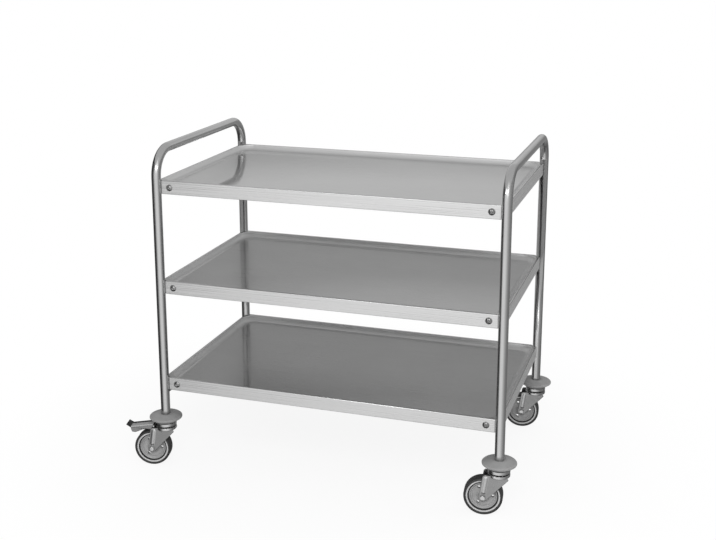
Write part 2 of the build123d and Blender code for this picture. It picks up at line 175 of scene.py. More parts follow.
# Distances from the middle between which the floor turns white, and half of its side, in metres
FLOOR_FADE = (0.45, 1.15)
FLOOR_HALF = 30.0
# Width of the camera's sensor in millimetres
SENSOR_WIDTH = 36.0


# Property helpers

def length(name, description, millimetres):
    """A length that is written in millimetres and kept in metres."""
    return FloatProperty(
        name=name, description=description, default=millimetres * MM, unit="LENGTH", precision=5
    )


def amount(name, description, default, top=1.0):
    """A plain share, from 0 to its top."""
    return FloatProperty(name=name, description=description, default=default, min=0.0, max=top)


def roughness_of(pieces, default):
    """The middle roughness of some pieces."""
    return amount(f"Roughness of {pieces}", f"Middle roughness of the {pieces}", default)


def colour(pieces, grey):
    """The neutral colour of some pieces, as one linear grey."""
    return FloatVectorProperty(
        name=pieces.capitalize(), description=f"Colour of the {pieces}", default=(grey,) * 3, size=3,
        subtype="COLOR", min=0.0, max=1.0,
    )


def bearing(name, description, degrees):
    """An angle that is written in degrees."""
    return FloatProperty(name=name, description=description, default=radians(degrees), subtype="ANGLE")


def number(name, description, default):
    """A whole number of steps or parts."""
    return IntProperty(name=name, description=description, default=default, min=3)


def power(name, description, watts):
    """The power of a lamp."""
    return FloatProperty(name=name, description=description, default=watts, unit="POWER")


class TrolleyTubeSettings(bpy.types.PropertyGroup):
    """Sizes and finish of the bent tube hoops"""

    radius: length("Tube radius", "Outside radius of the tube", 12.5)
    wall: length("Tube wall", "Thickness of the tube", 1.2)
    bend: length("Bend radius", "Radius of the bends at the centre line", 70)
    round_steps: number("Steps round", "Faces round the tube", 64)
    bend_steps: number("Steps in a bend", "Rings along each bend", 40)
    steel: colour("polished tube", 0.56)
    roughness: roughness_of("tube", 0.2)


class TrolleyTraySettings(bpy.types.PropertyGroup):
    """Sizes and finish of the pressed trays"""

    sheet: length("Sheet", "Thickness of the sheet", 1.0)
    recess: length("Pan depth", "Depth of the pan below the crest", 14)
    cove: length("Cove radius", "Radius where the pan floor turns up", 24)
    crest: length("Crest width", "Width of the crest along the sides", 4)
    crest_round: length("Crest radius", "Rounding of the crest", 2.9)
    pan_corner: length("Pan corner", "Radius of the pan's corners at the crest", 45)
    notch: length("Post notch", "Radius of the hollow corner round each post", 12.9)
    lip: length("Lip radius", "Rounding beside each hollow corner", 4)
    hem_round: length("Hem radius", "Rounding of the skirt's bottom fold", 1.8)
    hem: length("Hem width", "Width of the fold under the skirts", 10)
    hem_gap: length("Hem gap", "Distance of the fold's ends from the posts", 66)
    steel: colour("smooth pans", 0.40)
    roughness: roughness_of("pans", 0.3)
    gloss_roughness: amount("Pan gloss", "Roughness of the mirror image over the haze", 0.05)
    gloss_index: amount("Pan gloss index", "Index that sets the mirror image's strength", 2.0, 3.0)
    # Painted light: coves, crests and skirts are the pan's steel in lighter greys, for the light they catch
    cove_steel: colour("satin coves", 0.56)
    cove_roughness: roughness_of("coves", 0.5)
    cove_metal: amount("Cove metal", "Share of clear metal, the rest is haze", 0.65)
    cove_blend: length("Cove blend", "Distance over which the pan's finish fades out", 16)
    # Painted highlight: the crests' lighter grey
    crest_steel: colour("crests with painted highlight", 0.6)
    crest_roughness: roughness_of("crests", 0.2)
    # Painted light: the skirts' lighter grey
    skirt_steel: colour("brushed skirts", 0.58)
    skirt_roughness: roughness_of("skirts", 0.36)
    skirt_metal: amount("Skirt metal", "Share of clear metal, the rest is haze", 0.7)


class TrolleyFixingSettings(bpy.types.PropertyGroup):
    """Sizes and finish of the shelf screws"""

    offset: length("Screw offset", "Distance of each screw from its post's centre", 37)
    drop: length("Screw drop", "Depth of each screw below the crest", 18)
    flange: length("Flange radius", "Radius of the screw's washer flange", 8.9)
    flange_height: length("Flange height", "Thickness of the washer flange", 1.0)
    head: length("Head radius", "Radius of the button head at its foot", 8.3)
    head_height: length("Head height", "Height of the button head above its flange", 4.0)
    socket: length("Socket radius", "Radius over the corners of the hex socket", 2.9)
    socket_depth: length("Socket depth", "Depth of the hex socket", 2.6)
    shank: length("Shank radius", "Radius of the screw", 4.0)
    shank_length: length("Shank length", "Length of the screw behind the skirt", 15.0)
    steel: colour("bright screws and nuts", 0.3)
    roughness: roughness_of("screws", 0.07)
    tab: colour("dull tabs", 0.12)
    tab_roughness: roughness_of("tabs", 0.5)


class TrolleyCasterSettings(bpy.types.PropertyGroup):
    """Sizes and finish of the bumpers, forks, wheels and brakes"""

    leg_near: length("Leg inside", "Inner face of a leg, from the wheel's middle", 17.8)
    leg_far: length("Leg outside", "Outer face of a leg, from the wheel's middle", 20.3)
    rib_width: length("Rib width", "Width of the pressed rib on a leg", 15)
    rib_height: length("Rib height", "Height of the pressed rib on a leg", 2)
    bolt_flat: length("Bolt flat", "Distance of a bolt's flat from its middle", 6.5)
    wheel: length("Wheel radius", "Radius of the wheel over its tyre", 50)
    tyre_half: length("Tyre half width", "Half of the tyre's width", 15)
    seat: length("Tyre seat", "Radius that the tyre sits on", 44.2)
    tread_round: length("Tread rounding", "Rounding of the tyre's outer edges", 4)
    bays: number("Bays", "Equal parts of a disc, every second one open", 6)
    # The groove's faces get painted shade, and the ring beyond it painted light
    groove_near: length("Groove inside", "Radius where a disc's dark groove starts", 35.9)
    groove_far: length("Groove outside", "Radius where the pale ring starts", 39.5)
    hole: length("Hole radius", "Radius of the openings in the wheel disc", 3.8)
    hole_pitch: length("Hole circle", "Radius of the circle of openings", 24)
    hole_start: bearing("Hole start", "Angle of the first opening", 58)
    web_near: length("Web inside", "Radius inside the ring of openings", 18.4)
    web_far: length("Web outside", "Radius outside the ring of openings", 29.4)
    web_half: length("Web half", "Half thickness of the disc at the openings", 4.7)
    arm_near: length("Flange inside", "Inner face of a flange, from a pedal's middle", 12.5)
    arm_far: length("Flange outside", "Outer face of a flange, from a pedal's middle", 15)
    pad_near: length("Pad near", "Near edge of the pad, from a pedal's middle", 5)
    pad_far: length("Pad far", "Far edge of the pad, from a pedal's middle", 14.5)
    pin_back: length("Pin back", "Distance of the brake pin behind the post's axis", 14)
    pin_height: length("Pin height", "Height of the brake pin above the floor", 100)
    ear: length("Ear radius", "Radius of the pedal's ears round the pin", 4.4)
    zinc: colour("forks and pedals", 0.3)
    zinc_roughness: roughness_of("zinc", 0.3)
    # Painted highlight: the ribs and the pedals' treads are the forks' zinc in a lighter grey, for the
    # light they catch
    rib: colour("ribs and treads with painted light", 0.5)
    head: colour("bright swivel heads", 0.55)
    head_roughness: roughness_of("swivel heads", 0.13)
    rubber: colour("grey bumpers", 0.235)
    tyre: colour("dark tyres", 0.022)
    disc: colour("grey wheel discs", 0.29)
    # Painted shade in the discs' grooves and painted light on their outer rings, on the same plastic
    groove: colour("painted shade in the discs' grooves", 0.05)
    rim: colour("painted light on the discs' rings", 0.5)
    plug: colour("tube plugs", 0.02)
    # Painted shade: near black for the pedals' pad and tip
    tread: colour("painted shade on the pedals", 0.012)
    tread_metal: amount("Tread metal", "Share of clear metal, the rest is haze", 0.5)


class TrolleyStageSettings(bpy.types.PropertyGroup):
    """Camera, light and studio round the trolley"""

    camera: FloatVectorProperty(
        name="Camera", description="Place of the camera", default=(0.940, -2.909, 1.442), size=3,
        subtype="TRANSLATION",
    )
    yaw: bearing("Yaw", "Turn of the camera to the left", 17.89)
    pitch: bearing("Pitch", "Tilt of the camera below level", 13.34)
    lens: FloatProperty(name="Lens", description="Focal length on a 36 mm wide sensor", default=57.5)
    shift: FloatProperty(name="Shift", description="Shift of the frame along the height", default=-0.095)
    floor: colour("pale floor", 0.8)
    floor_white: amount("Floor white", "Share of plain white in the floor that is seen", 0.88)
    ambient: amount("Ambient", "Strength of the even light from all round", 0.7, 5.0)
    key: power("Key", "Power of the large front lamp", 70.0)
    fill: power("Fill", "Power of the low lamp at the left", 8.0)
    side: power("Side", "Power of the lamp at the right", 16.0)
    wall_radius: length("Card radius", "Distance of the studio cards", 1700)
    wall_low: length("Card foot", "Height of the cards' lower edge", -1200)
    wall_high: length("Card top", "Height of the cards' upper edge", 1700)
    back_shade: amount("Back shade", "Share of the back card's grey at its foot", 0.48)
    lamp_radius: length("Lamp radius", "Radius of the lamps' faces", 150)
    lamp_glow: amount("Lamp glow", "Brightness of the lamps' faces in reflections", 8.0, 20.0)
    ceiling: amount("Ceiling", "Grey of the card overhead", 0.6)
    ground: amount("Ground", "Grey of the card below", 0.12)


# Shape helpers

def unit(vectors):
    """The vectors brought to length one."""
    return vectors / np.linalg.norm(vectors, axis=-1, keepdims=True)


def polar(radius, angle):
    """Two places, the radius times the angle's cosine and sine."""
    return np.stack([radius * np.cos(angle), radius * np.sin(angle)], -1)


def lifted(plan, height):
    """Two places with a height as the third."""
    return np.concatenate([plan, np.broadcast_to(height, plan.shape[:-1])[..., None]], -1)


def rounded(corners, closed=True, steps=6):
    """A line with round corners, in metres. A corner is two places and a rounding, in millimetres. Its arc
    meets both runs at the radius over the tangent of half their angle, and a point just before and after it
    keeps the runs flat."""
    straight = pi / 2 - 1e-6
    points = np.array([corner[:2] for corner in corners], float)
    last = len(points) - 1
    line = []
    for i, (corner, (*_, radius)) in enumerate(zip(points, corners)):
        back = unit(points[i - 1] - corner)
        ahead = unit(points[(i + 1) % len(points)] - corner)
        half = np.arccos(np.clip(back @ ahead, -1, 1)) / 2
        if radius == 0 or half > straight or (not closed and i in (0, last)):
            line.append(corner[None])
            continue
        reach = radius / np.tan(half)
        middle = corner + unit(back + ahead) * radius / np.sin(half)
        spoke = corner + back * reach - middle
        side = 1 if back[1] * ahead[0] >= back[0] * ahead[1] else -1
        angle = np.linspace(0, side * (pi - 2 * half), steps + 1)
        across = np.array((-spoke[1], spoke[0]))
        arc_points = middle + np.cos(angle)[:, None] * spoke + np.sin(angle)[:, None] * across
        before, after = corner + back * (reach + SUPPORT), corner + ahead * (reach + SUPPORT)
        line += [before[None], arc_points, after[None]]
    return np.concatenate(line) * MM


def arc(middle, radius, start, end, steps):
    """Two places along an arc, its angles in degrees."""
    return np.array(middle) + polar(radius, np.radians(np.linspace(start, end, steps + 1)))


def slot(start, end, width, steps=16):
    """The outline of a slot: a half circle round each end of its centre line."""
    start, end = np.array(start) * MM, np.array(end) * MM
    lean = np.degrees(atan2(end[1] - start[1], end[0] - start[0]))
    far = arc(end, width / 2, lean - 90, lean + 90, steps)
    return np.concatenate([far, arc(start, width / 2, lean + 90, lean + 270, steps)])


def spaced(line, most):
    """The closed line with points added so that no step is longer than the given one."""
    ahead = np.roll(line, -1, 0)
    gap = np.linalg.norm(ahead - line, axis=1)
    parts = np.maximum(1, np.ceil(gap / most)).astype(int)
    start = np.repeat(np.arange(len(line)), parts)
    share = np.concatenate([np.arange(n) / n for n in parts])
    return line[start] + (ahead - line)[start] * share[:, None]


class Shell:
    """Points and faces of one closed surface, with a pattern place for each face corner and a material
    number for each face."""

    def __init__(self, points, faces, pattern=None, material=0):
        self.points = points
        self.faces = faces
        self.pattern = pattern
        self.material = np.broadcast_to(material, sum(map(len, faces)))

    def outward(self):
        """The same surface with its faces turned outwards, by the sign of its volume."""
        volume = 0.0
        for faces in self.faces:
            corner = self.points[faces]
            for k in range(1, faces.shape[1] - 1):
                volume += np.einsum("ij,ij->", corner[:, 0], np.cross(corner[:, k], corner[:, k + 1]))
        if volume < 0:
            self.faces = [faces[:, ::-1] for faces in self.faces]
            if self.pattern is not None:
                self.pattern = [pattern[:, ::-1] for pattern in self.pattern]
        return self

    def placed(self, origin, x, y, z):
        """The surface carried from its own axes to the given ones."""
        axes = np.array((x, y, z), float)
        points = self.points @ axes + np.asarray(origin)
        return Shell(points, self.faces, self.pattern, self.material).outward()


def strips(rows, columns, ring=False):
    """Four point numbers for each face of a grid whose columns close, and its rows too with ring."""
    row = np.arange(rows if ring else rows - 1)[:, None]
    column = np.arange(columns)[None]
    below, beside = (row + 1) % rows * columns, (column + 1) % columns
    corners = [row * columns + column, row * columns + beside, below + beside, below + column]
    return np.stack(corners, -1).reshape(-1, 4)


def grid(points, along=None, around=None, ring=False, material=0):
    """A closed surface over a grid of rows and columns. The columns close, and the rows too with ring;
    otherwise each end row is one flat face. The material is one number, or one for each row."""
    rows, columns = points.shape[:2]
    faces = [strips(rows, columns, ring)]
    pattern = None
    if along is not None:
        def corner(u, v):
            """Pattern places of one corner of every face."""
            return np.stack(np.broadcast_arrays(u[None], v[:, None]), -1)

        left, right, high, low = around[:-1], around[1:], along[:-1], along[1:]
        corners = [corner(left, high), corner(right, high), corner(right, low), corner(left, low)]
        pattern = [np.stack(corners, -2).reshape(-1, 4, 2)]
    if not ring:
        end = np.arange(columns)[None]
        faces += [end[:, ::-1], end + (rows - 1) * columns]
        if pattern is not None:
            flat = points.reshape(-1, 3)[:, :2]
            pattern += [flat[faces[1]], flat[faces[2]]]
        if np.ndim(material):
            material = np.concatenate([np.repeat(material, columns), material[[0, -1]]])
    return Shell(points.reshape(-1, 3), faces, pattern, material).outward()


def turned(profile, steps=96, ring=False, hexed=None, flat=0.0, material=0):
    """A profile of radius and height turned round the third axis. Rows marked in hexed follow a hexagon:
    its distance from the centre is the flat's over the cosine of the angle from the flat's middle."""
    angle = np.linspace(0, tau, steps, endpoint=False)
    radius = np.repeat(profile[:, :1], steps, 1)
    if hexed is not None:
        hexagon = flat / np.cos((angle + pi / 6) % (pi / 3) - pi / 6)
        radius = np.where(hexed[:, None] > 0, hexagon, radius)
    return grid(lifted(polar(radius, angle), profile[:, 1:2]), ring=ring, material=material)


def stacked(outline, insets, heights, material):
    """A closed surface whose rows are the outline moved in along its normals, each at its height."""
    following = np.roll(outline, -1, 0)
    ahead = unit(following - np.roll(outline, 1, 0))
    normal = np.stack([ahead[:, 1], -ahead[:, 0]], -1)
    area = np.sum(outline[:, 0] * following[:, 1] - following[:, 0] * outline[:, 1])
    rows = outline[None] - normal[None] * np.sign(area) * insets[:, None, None]
    return grid(lifted(rows, heights[:, None]), material=material)


def plate(outline, near, far, edge, steps=3, material=0):
    """A flat plate between two heights. Its edges are rounded: each row is moved in by an arc's rise."""
    angle = np.linspace(0, pi / 2, steps + 1)
    inset = edge * (1 - np.sin(angle))
    rise = edge * (1 - np.cos(angle))
    deep = edge + SUPPORT * MM
    insets = np.concatenate([[deep], inset, inset[::-1], [deep]])
    heights = np.concatenate([[near], near + rise, far - rise[::-1], [far]])
    return stacked(outline, insets, heights, material)


def pillow(outline, near, far, inset, steps=12, material=0):
    """A pressed shape with soft flanks: each row is moved in by a share of the inset, at a height that
    follows half a wave of a cosine."""
    share = np.linspace(0, 1, steps + 1)
    heights = near + (far - near) * (1 - np.cos(pi * share)) / 2
    return stacked(outline, inset * share, heights, material)


def make_piece(name, shells, finishes, body, slot_name, *nodes):
    """One mesh object from closed surfaces, smooth shaded, riding on its body in place of its nodes."""
    count, points, faces, pattern = 0, [], [], []
    for shell in shells:
        points.append(shell.points)
        for k, corners in enumerate(shell.faces):
            faces += (corners + count).tolist()
            flat = shell.points[corners][..., :2] if shell.pattern is None else shell.pattern[k]
            pattern.append(flat.reshape(-1, 2))
        count += len(shell.points)
    mesh = bpy.data.meshes.new(name)
    mesh.from_pydata(np.concatenate(points).tolist(), [], faces)
    paint = np.concatenate([shell.material for shell in shells]).astype(np.int32)
    mesh.polygons.foreach_set("use_smooth", np.ones(len(mesh.polygons), bool))
    mesh.polygons.foreach_set("material_index", paint)
    layer = mesh.uv_layers.new(name="Surface")
    layer.data.foreach_set("uv", np.concatenate(pattern).astype(np.float32).ravel())
    for material in finishes:
        mesh.materials.append(material)
    mesh.update()
    piece = bpy.data.objects.new(name, mesh)
    bpy.context.scene.collection.objects.link(piece)
    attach(piece, body)
    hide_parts(*nodes)


# Material helpers

class Nodes:
    """The shader nodes of a material or the world, with short calls."""

    def __init__(self, owner):
        owner.use_nodes = True
        self.nodes, self.links = owner.node_tree.nodes, owner.node_tree.links

    def feed(self, socket, value):
        """Sets an input from a number, or links an output or a node's first output to it."""
        if isinstance(value, bpy.types.Node):
            value = value.outputs[0]
        if isinstance(value, bpy.types.NodeSocket):
            self.links.new(value, socket)
        elif value is not None:
            socket.default_value = value

    def node(self, kind, *inputs, **settings):
        """A node with its settings by name, and its first inputs fed in order."""
        node = self.nodes.new(kind)
        for key, value in settings.items():
            setattr(node, key, value)
        for socket, value in zip(node.inputs, inputs):
            self.feed(socket, value)
        return node


class Finish(Nodes):
    """A material on one Principled shader."""

    def __init__(self, name):
        self.material = bpy.data.materials.new(name)
        super().__init__(self.material)
        self.shader = self.nodes["Principled BSDF"]

    def look(self, name, value):
        """One input of the shader."""
        self.feed(self.shader.inputs[name], value)

    def noise(self, source, stretch, detail):
        """Noise over object or pattern coordinates, stretched along the axes."""
        place = self.node("ShaderNodeTexCoord").outputs[source]
        mapped = self.node("ShaderNodeMapping", place, None, None, stretch)
        return self.node("ShaderNodeTexNoise", mapped, None, 1.0, detail).outputs["Fac"]

    def rough(self, source, middle, spread):
        """Noise as roughness, spread round its middle."""
        ends = middle * (1 - spread), middle * (1 + spread)
        self.look("Roughness", self.node("ShaderNodeMapRange", source, *NOISE_SPAN, *ends))

    def tint(self, source, values, spread):
        """Noise as a faint cloud in the colour."""
        node = self.node("ShaderNodeValToRGB", source)
        for element, place, side in zip(node.color_ramp.elements, NOISE_SPAN, SIDES):
            element.position = place
            element.color = (*(min(1.0, value * (1 + side * spread)) for value in values), 1.0)
        self.look("Base Color", node)

    def bump(self, source, height):
        """Noise as small heights on the surface, in metres."""
        node = self.node("ShaderNodeBump")
        self.feed(node.inputs["Distance"], height)
        self.feed(node.inputs["Height"], source)
        self.look("Normal", node)


def metal(name, values, roughness, metallic=1.0):
    """Metal with streaks in its gloss, and a faint cloud or the same streaks in its colour, made once."""
    made = bpy.data.materials.get(name)
    if made:
        return made
    source, stretch, spread, height, cloud, streaky = METALS[name]
    finish = Finish(name)
    finish.look("Metallic", metallic)
    streaks = finish.noise(source, stretch, METAL_DETAIL)
    finish.rough(streaks, roughness, spread)
    finish.tint(streaks if streaky else finish.noise("Object", METAL_CLOUD, METAL_DETAIL), values, cloud)
    if height:
        finish.bump(streaks, height * MM)
    return finish.material


def polymer(name, values):
    """Rubber or plastic with a fine grain and a faint cloud in its colour."""
    roughness, grains, height, cloud = POLYMERS[name]
    finish = Finish(name)
    finish.look("Specular IOR Level", POLYMER_SPECULAR)
    grain = finish.noise("Object", (grains, grains, grains), POLYMER_DETAIL)
    finish.rough(grain, roughness, POLYMER_SPREAD)
    finish.tint(finish.noise("Object", POLYMER_CLOUD, POLYMER_DETAIL), values, cloud)
    finish.bump(grain, height * MM)
    return finish.material


def bright_head(settings):
    """Bright plate on the rings of the swivel heads and the axles."""
    return metal("bright_head", settings.head, settings.head_roughness)


def coat_node(node, material):
    """Gives a CAD node that stays in view its finish."""
    mesh = frame["nodes"][node].data
    mesh.materials.clear()
    mesh.materials.append(material)


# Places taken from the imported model

def post_spots():
    """Centre of each post on the floor, from the swivel joints."""
    return {corner: np.array(JOINTS[f"{corner}_swivel_turn"]["pos_m"]) * (1, 1, 0) for corner in CORNERS}


def caster_axes(corner):
    """Spot on the floor under the post, the way the wheel trails, the axle and the hub."""
    spot, spin = post_spots()[corner], JOINTS[f"{corner}_wheel_spin"]
    hub = np.array(spin["pos_m"])
    return spot, unit((hub - spot) * (1, 1, 0)), unit(np.array(spin["axis"], float)), hub


class TROLLEY_OT_hoops(bpy.types.Operator):
    """Build the two bent tube hoops with their push handles"""

    bl_idname = "trolley.hoops"
    bl_label = "Tube hoops"

    def execute(self, context):
        settings = context.scene.trolley_tube
        steel = metal("polished_tube", settings.steel, settings.roughness)
        angle = np.linspace(0, tau, settings.round_steps, endpoint=False)
        for side in ("left", "right"):
            low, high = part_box(f"{side}_hoop")
            x = (low.x + high.x) / 2
            half, foot = (high.y - low.y) / 2 - settings.radius, low.z
            handle, bend = high.z - settings.radius, settings.bend / MM
            cut = foot + SUPPORT * MM
            feet = ((-half, foot, 0), (-half, cut, 0), (half, cut, 0), (half, foot, 0))
            corners = (*feet[:2], (-half, handle, bend), (half, handle, bend), *feet[2:])
            path = rounded([(y / MM, z / MM, r) for y, z, r in corners], False, settings.bend_steps)
            ahead = np.gradient(path, axis=0)
            ahead[:2], ahead[-2:] = (0, 1), (0, -1)
            ahead = unit(ahead)
            sideways = np.stack([-ahead[:, 1], ahead[:, 0]], -1)[:, None]

            def wall(radius):
                """A circle carried along the path: its point plus the radius along its normal and X."""
                away = sideways * (radius * np.cos(angle))[None, :, None]
                across = np.broadcast_to(x + radius * np.sin(angle), (len(path), len(angle)))
                return np.concatenate([across[..., None], path[:, None] + away], -1)

            rows = np.concatenate([wall(settings.radius), wall(settings.radius - settings.wall)[::-1]])
            run = np.concatenate([[0], np.cumsum(np.linalg.norm(np.diff(path, axis=0), axis=1))])
            along = np.concatenate([run, run[::-1], run[:1]])
            around = np.linspace(0, tau * settings.radius, settings.round_steps + 1)
            shell = grid(rows, along, around, ring=True)
            make_piece(f"{side}_hoop_tube", [shell], [steel], "frame", "tube", f"{side}_hoop")
        return {"FINISHED"}


def tray_stations(settings, half_x, half_y):
    """Points round a tray in plan: pan's edge and outside edge with their normals, and the fold's width.
    One quarter, from the middle of the right end to the middle of the back, is mirrored round the tray."""
    notch, lip, corner = settings.notch, settings.lip, settings.pan_corner
    reach = sqrt((notch + lip) ** 2 - lip**2)
    lean = atan2(reach, lip)
    narrow = settings.hem_round + settings.sheet
    hem_steps, hem_slope = 5, 7 * MM
    # Points in each stretch of half a corner, and the pan's angle at the stretch's end
    side_points, lip_points, notch_points = 9, 9, 13
    side_end, lip_end, notch_end = 26, 35, 45

    def half_corner(hx, hy):
        """From a side's middle to the corner's diagonal. The side lies at hx and runs along hy."""
        hem_end, bend = hy - settings.hem_gap, hy - corner - settings.crest
        run = np.concatenate([np.linspace(0, hem_end, hem_steps), [hem_end + hem_slope, bend]])
        straight = np.concatenate([run, np.linspace(bend, hy - reach, side_points)[1:]])
        lip_turn = np.linspace(0, lean, lip_points)[1:]
        notch_turn = np.linspace(lean, pi / 4, notch_points)[1:]
        outer = np.concatenate(
            [
                np.stack([np.full_like(straight, hx), straight], -1),
                (hx - lip, hy - reach) + polar(lip, lip_turn),
                (hx, hy) - polar(notch, notch_turn),
            ]
        )
        face = np.concatenate([np.zeros_like(straight), lip_turn, notch_turn])
        stretches = [
            np.linspace(0, side_end, side_points)[1:],
            np.linspace(side_end, lip_end, lip_points)[1:],
            np.linspace(lip_end, notch_end, notch_points)[1:],
        ]
        turn = np.radians(np.concatenate([np.zeros_like(run), *stretches]))
        middle = np.array((hx - settings.crest - corner, bend))
        inner = middle + polar(corner, turn)
        inner[: len(run), 1] = run
        width = np.where(np.arange(len(outer)) < hem_steps, settings.hem, narrow)
        return inner, turn, outer, face, width

    first, second = half_corner(half_x, half_y), half_corner(half_y, half_x)

    def quarter(k, turned_over):
        """Both halves of a corner, the second one swapped over the diagonal."""
        return np.concatenate([first[k], turned_over(second[k][-2::-1])])

    inner, outer = (quarter(k, lambda plan: plan[:, ::-1]) for k in (0, 2))
    turn, face = (quarter(k, lambda angle: pi / 2 - angle) for k in (1, 3))
    width = quarter(4, lambda same: same)

    def round_tray(values, flips=((1, 1), (-1, 1), (-1, -1), (1, -1))):
        """A quarter's points carried round the four quarters, with the shared middles kept once."""
        return np.concatenate([values[:: x * y][:-1] * (x, y) for x, y in flips])

    normals = [round_tray(polar(1, angle)) for angle in (turn, face)]
    widths = round_tray(np.repeat(width[:, None], 2, 1))
    return round_tray(inner), normals[0], round_tray(outer), normals[1], np.abs(widths[:, 0])


def mirror_coat(shader, settings):
    """A sharp mirror image over the haze of a sheet."""
    shader.inputs["Coat Weight"].default_value = 1.0
    shader.inputs["Coat Roughness"].default_value = settings.gloss_roughness
    shader.inputs["Coat IOR"].default_value = settings.gloss_index


def cove_finish(settings):
    """Sheet of the coves: like the pan at the floor's edge, and satin further up, where its grey turns
    lighter as painted light.
    """
    source, brush, spread, *_ = METALS["smooth_pan"]
    finish = Finish("satin_cove")
    finish.rough(finish.noise(source, brush, METAL_DETAIL), settings.cove_roughness, spread)
    mirror_coat(finish.shader, settings)
    place = finish.node("ShaderNodeTexCoord").outputs["UV"]
    along = finish.node("ShaderNodeSeparateXYZ", place).outputs["Y"]
    # Painted light: the grey rises from the pan's to the lighter cove grey up the wall
    ends = {
        "Base Color": (settings.steel[0], settings.cove_steel[0]),
        "Metallic": (1.0, settings.cove_metal),
        "Coat Weight": (1.0, 0.0),
    }
    for name, (edge, above) in ends.items():
        finish.look(name, finish.node("ShaderNodeMapRange", along, 0.0, settings.cove_blend, edge, above))
    return finish.material


class TROLLEY_OT_trays(bpy.types.Operator):
    """Build the three pressed trays, each a closed sheet section carried round its outline"""

    bl_idname = "trolley.trays"
    bl_label = "Trays"

    def execute(self, context):
        settings = context.scene.trolley_tray
        smooth = metal("smooth_pan", settings.steel, settings.roughness)
        mirror_coat(smooth.node_tree.nodes["Principled BSDF"], settings)
        satin = cove_finish(settings)
        # Painted light: crests and skirts take lighter greys of the pan's steel
        bright = metal("bright_crest", settings.crest_steel, settings.crest_roughness)
        rough, share = settings.skirt_roughness, settings.skirt_metal
        finishes = [smooth, satin, bright, metal("brushed_skirt", settings.skirt_steel, rough, share)]
        cove, crest, sheet = settings.cove, settings.crest_round, settings.sheet
        # Where the cove's circle and the crest's circle touch
        rise = cove - settings.recess + crest
        reach = sqrt((cove + crest) ** 2 - rise**2)
        touch = np.degrees(atan2(rise, reach))
        cove_middle, crest_middle = (-cove, cove - settings.recess), (reach - cove, -crest)
        foot, flat, support = settings.hem_round, 0.4 * MM, (SUPPORT * MM, 0)
        # Steps along each arc of the section, and the rows on each side of the crest's middle that take the
        # crest's lighter grey, a painted highlight
        cove_steps, crest_steps, fold_steps, crest_rows = 18, 8, 6, 6
        for level in LEVELS:
            low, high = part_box(f"{level}_tray")
            half_x, half_y, skirt = (high.x - low.x) / 2, (high.y - low.y) / 2, high.z - low.z
            inner, inner_normal, outer, outer_normal, hem = tray_stations(settings, half_x, half_y)

            def pan_rows(inside):
                """Rows that follow the pan's edge, from its floor to the top of the crest."""
                floor = arc(cove_middle, cove + inside, -90, -touch, cove_steps)
                top = arc(crest_middle, crest - inside, 180 - touch, 90, crest_steps)[1:]
                return np.concatenate([floor[:1] - support, floor, top, top[-1:] + support])

            def skirt_rows(inside):
                """Rows that follow the outside edge, from the crest to the fold."""
                top = arc((-crest, -crest), crest - inside, 90, 0, crest_steps)
                fold = arc((-foot, foot - skirt), foot - inside, 0, -90, fold_steps)
                ends = top[-1:] - (0, flat), fold[:1] + (0, flat)
                return np.concatenate([top[:1] - support, top, *ends, fold])

            def carried(rows, edge, normal):
                """Each row's offset along the edge's normals, at its height below the crest."""
                return lifted(edge[None] + normal[None] * rows[:, :1, None], high.z + rows[:, 1:])

            def fold_row(height):
                """The free edge of the fold under the skirt."""
                return lifted(outer - outer_normal * hem[:, None], high.z + height)[None]

            pan = carried(pan_rows(0), inner, inner_normal)
            rows = np.concatenate(
                [
                    pan,
                    carried(skirt_rows(0), outer, outer_normal),
                    fold_row(-skirt),
                    fold_row(sheet - skirt),
                    carried(skirt_rows(sheet)[::-1], outer, outer_normal),
                    carried(pan_rows(sheet)[::-1], inner, inner_normal),
                ]
            )
            step = np.linalg.norm(np.diff(rows, axis=0), axis=2).min(axis=1)
            along = np.concatenate([[0], np.cumsum(step)])
            loop = np.linalg.norm(np.roll(outer, -1, 0) - outer, axis=1)
            around = np.concatenate([[0], np.cumsum(loop)])
            row = np.arange(len(rows) - 1)
            paint = np.searchsorted((1, len(pan) - crest_rows, len(pan) + crest_rows), row, side="right")
            shell = grid(rows, along, around, material=paint)
            make_piece(f"{level}_tray_sheet", [shell], finishes, "frame", "sheet", f"{level}_tray")
        return {"FINISHED"}


